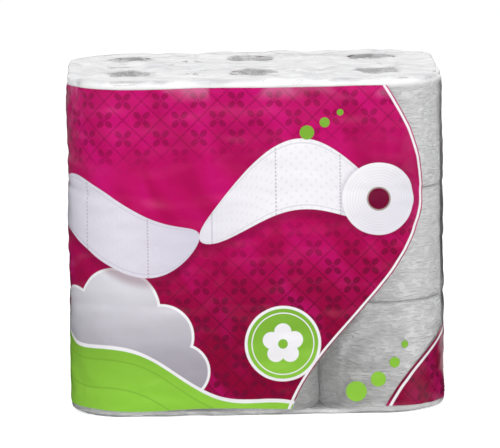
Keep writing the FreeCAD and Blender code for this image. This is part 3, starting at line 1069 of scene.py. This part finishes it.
def plain_roll(look, name, lower, upper):
    """A ring-shaped roll at the origin, turned up from one circle."""
    deselect()
    rings = roll_profile(lower, upper)
    bpy.ops.mesh.primitive_circle_add(vertices=look.turns_round, radius=rings[0][0])
    piece = bpy.context.object
    piece.name = piece.data.name = name
    bpy.ops.object.mode_set(mode="EDIT")
    bpy.ops.mesh.select_all(action="SELECT")
    before = rings[0]
    for radius, level in rings[1:]:
        before = next_ring(radius, level, before)
    pick(piece, "edges", lambda edge: edge.is_boundary)
    bpy.ops.mesh.bridge_edge_loops()
    bpy.ops.mesh.select_all(action="SELECT")
    bpy.ops.mesh.normals_make_consistent(inside=False)
    bpy.ops.object.mode_set(mode="OBJECT")
    return piece


def wind_and_press(look, places, column, row, layer):
    """Winds, embosses and presses one roll, and gives its points at their place."""
    index = (layer * len(ROWS) + row) * len(COLUMNS) + column
    tail = math.radians(35 + 5 * (index % 5) + 90 * (index % 4))
    x, y, z = places.T
    radius, angle = np.hypot(x, y), np.arctan2(y, x)
    outer = rise(radius, ROLL_RADIUS * 0.75, ROLL_RADIUS * 0.98)
    turned = ((angle - tail) % (2 * math.pi)) / (2 * math.pi)
    drop = look.ply * turned * outer
    across = angle * QUILT_CELLS / 2 + index * 0.7
    up = z / ROLL_TALL * math.pi * 9
    pillow = np.abs(np.sin(across + up)) * np.abs(np.sin(across - up))
    side = rise(radius, ROLL_RADIUS - 1.5 * MM, ROLL_RADIUS - 0.2 * MM)
    drop += look.emboss * (1 - pillow**0.5) * side
    ends = rise(np.abs(z - ROLL_TALL / 2), ROLL_TALL / 2 - 0.5 * MM, ROLL_TALL / 2)
    coil = np.sin((radius / (5.2 * MM) - angle / (2 * math.pi)) * 2 * math.pi)
    inner = rise(radius, CORE_RADIUS + 1.5 * MM, CORE_RADIUS + 6 * MM)
    sink = 0.22 * MM * (coil * 0.5 + 0.5) * ends * inner
    sink += 0.5 * MM * (1 - inner) * ends
    level = z - np.sign(z - ROLL_TALL / 2) * sink
    radius = radius - drop
    x, y = radius * np.cos(angle), radius * np.sin(angle)
    press = PITCH / 2 - 0.1 * MM
    x = np.clip(x, -press if column > 0 else -1, press if column < len(COLUMNS) - 1 else 1)
    y = np.clip(y, -press if row > 0 else -1, press if row < len(ROWS) - 1 else 1)
    centre = middle(f"core_{LAYERS[layer]}_{ROWS[row]}_{COLUMNS[column]}")
    floor = centre.z - ROLL_TALL / 2
    return np.column_stack([x + centre.x, y + centre.y, level + floor])


class PACK_OT_rolls(bpy.types.Operator):
    """Models the rolls of wound, quilted tissue, pressed against each other"""

    bl_idname = "pack.rolls"
    bl_label = "Rolls"

    def execute(self, context):
        look = context.scene.pack_look
        tissue = tissue_material(look)
        for layer, level in enumerate(LAYERS):
            lower = FREE_ROUND if layer == 0 else PRESSED_EDGE
            upper = FREE_ROUND if layer == len(LAYERS) - 1 else PRESSED_EDGE
            pattern = plain_roll(look, f"pattern_{level}", lower, upper)
            places = points_of(pattern)
            for row, depth in enumerate(ROWS):
                for column, side in enumerate(COLUMNS):
                    place = f"{level}_{depth}_{side}"
                    piece = pattern.copy()
                    piece.data = pattern.data.copy()
                    piece.name = piece.data.name = f"tissue_{place}"
                    context.scene.collection.objects.link(piece)
                    put_points(piece, wind_and_press(look, places, column, row, layer))
                    piece.data.shade_smooth()
                    piece.data.materials.append(tissue)
                    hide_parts(f"roll_{place}")
                    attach(piece, "root")
            bpy.data.objects.remove(pattern)
        return {"FINISHED"}


class PACK_OT_cores(bpy.types.Operator):
    """Gives the board tubes of the frame their finish"""

    bl_idname = "pack.cores"
    bl_label = "Cores"

    def execute(self, context):
        board = board_material(context.scene.pack_look)
        for name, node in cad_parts.items():
            if name.startswith("core_"):
                node.data.materials.clear()
                node.data.materials.append(board)
        return {"FINISHED"}


# The stage


AIM = Vector((0, 0, TOP / 2))
LAMPS = (
    ("key", (-0.8, -1.8, 1.7), 1.3, 27),
    ("fill", (1.5, -1.8, 0.9), 1.6, 18),
    ("over", (0.1, 0.4, 2.0), 1.2, 7.5),
)


def light(name, place, size, power):
    """A square lamp that points at the pack, and isn't mirrored in the film."""
    lamp = bpy.data.lights.new(name, "AREA")
    lamp.size, lamp.energy = size, power
    holder = bpy.data.objects.new(name, lamp)
    bpy.context.scene.collection.objects.link(holder)
    holder.location = place
    holder.visible_glossy = False
    holder.rotation_euler = (AIM - Vector(place)).to_track_quat("-Z", "Y").to_euler()


def seen_by(net, *kinds):
    """1 for rays of these kinds, such as those that the camera sends out."""
    path = net.node("ShaderNodeLightPath")
    seen = [Number(net, path.outputs[f"Is {kind} Ray"]) for kind in kinds]
    return seen[0] if len(seen) == 1 else seen[0].highest(seen[1])


def floor_material():
    """White to the eye, and dim in the film's gloss, but for a bright strip at the right."""
    net = new_net("floor")
    x, y, _ = net.place()
    matt = net.node("ShaderNodeBsdfDiffuse", inputs={0: (0.85, 0.85, 0.85)}).outputs[0]
    glow = net.node("ShaderNodeEmission", inputs={0: (1, 1, 1), 1: 0.56}).outputs[0]
    white = net.node("ShaderNodeAddShader", inputs={0: matt, 1: glow}).outputs[0]
    aside = x / (distance(x, y) + 0.001)
    strip = aside.between(0.7, 0.82) * (1 - aside.between(0.9, 0.98)) * 0.5
    level = distance(x, y).between(0.8, 3.6) * 0.25 + 0.01
    mirrored = net.node("ShaderNodeEmission", inputs={0: (1, 1, 1), 1: level + strip})
    seen = seen_by(net, "Camera", "Transmission")
    shown = net.node("ShaderNodeMixShader", inputs={0: seen, 1: matt, 2: white})
    inputs = {0: seen_by(net, "Glossy"), 1: shown.outputs[0], 2: mirrored.outputs[0]}
    return net.finish(net.node("ShaderNodeMixShader", inputs=inputs).outputs[0])


def studio_world(world):
    """White to the eye, and in the film's gloss a dim room with a bright ceiling."""
    sky = Net(world)
    x, y, z = sky.parts(sky.node("ShaderNodeTexCoord").outputs["Generated"])
    ceiling = z.between(-0.05, 0.45).highest(y.between(0.3, 0.7) * z.between(0.0, 0.1))
    softbox = z.between(0.3, 0.4) * z.under(0.75, 0.05)
    softbox = softbox * abs(x).under(0.6, 0.05) * y.under(0.0, 0.1)
    mirrored = ceiling * 0.85 + 0.15 + softbox * 2.6
    level = seen_by(sky, "Camera", "Transmission") * 0.5 + 0.5
    glossy = seen_by(sky, "Glossy")
    level = level * (1 - glossy) + mirrored * glossy
    shown = sky.node("ShaderNodeBackground", inputs={0: (1, 1, 1), 1: level}).outputs[0]
    sky.finish(shown, "ShaderNodeOutputWorld")


def set_camera():
    """A long lens in front of the pack, a little above it."""
    far, height_angle, turn, roll = 4.0, 8.9, -1.2, -0.81
    tilt, pan = math.radians(height_angle), math.radians(turn)
    back = Vector(
        (math.sin(pan) * math.cos(tilt), -math.cos(pan) * math.cos(tilt), math.sin(tilt))
    )
    data = bpy.data.cameras.new("camera")
    data.lens = 310.8
    data.sensor_width = 36
    data.clip_end = 50
    data.shift_x, data.shift_y = -0.0088, 0.0108
    camera = bpy.data.objects.new("camera", data)
    bpy.context.scene.collection.objects.link(camera)
    camera.location = AIM + back * far
    camera.rotation_euler = (-back).to_track_quat("-Z", "Y").to_euler()
    camera.rotation_euler.rotate_axis("Z", math.radians(roll))
    bpy.context.scene.camera = camera


class PACK_OT_stage(bpy.types.Operator):
    """Sets up the floor, the soft lamps, the background and the camera"""

    bl_idname = "pack.stage"
    bl_label = "Stage"

    def execute(self, context):
        deselect()
        bpy.ops.mesh.primitive_plane_add(size=12, location=(0, 0, 0))
        floor = bpy.context.object
        floor.name = "floor"
        floor.data.materials.append(floor_material())
        context.scene.world = bpy.data.worlds.new("studio")
        studio_world(context.scene.world)

        for lamp in LAMPS:
            light(*lamp)
        context.scene.view_settings.view_transform = "Standard"
        set_camera()
        return {"FINISHED"}


class PACK_PT_panel(bpy.types.Panel):
    """The pack's sizes and colours, and its pieces in order"""

    bl_idname = "PACK_PT_panel"
    bl_label = "Toilet Roll Pack"
    bl_space_type = "VIEW_3D"
    bl_region_type = "UI"
    bl_category = "Roll Pack"

    def draw(self, context):
        look = context.scene.pack_look
        for name in PackLook.__annotations__:
            self.layout.prop(look, name)
        for operator in OPERATORS:
            self.layout.operator(operator.bl_idname)


OPERATORS = (PACK_OT_film, PACK_OT_rolls, PACK_OT_cores, PACK_OT_stage)
CLASSES = (PackLook, *OPERATORS, PACK_PT_panel)


def register():
    for item in CLASSES:
        bpy.utils.register_class(item)
    bpy.types.Scene.pack_look = PointerProperty(type=PackLook)


def unregister():
    del bpy.types.Scene.pack_look
    for item in reversed(CLASSES):
        bpy.utils.unregister_class(item)


def main():
    """Makes every piece in order."""
    register()
    bpy.ops.pack.film()
    bpy.ops.pack.rolls()
    bpy.ops.pack.cores()
    bpy.ops.pack.stage()


if __name__ == "__main__":
    main()
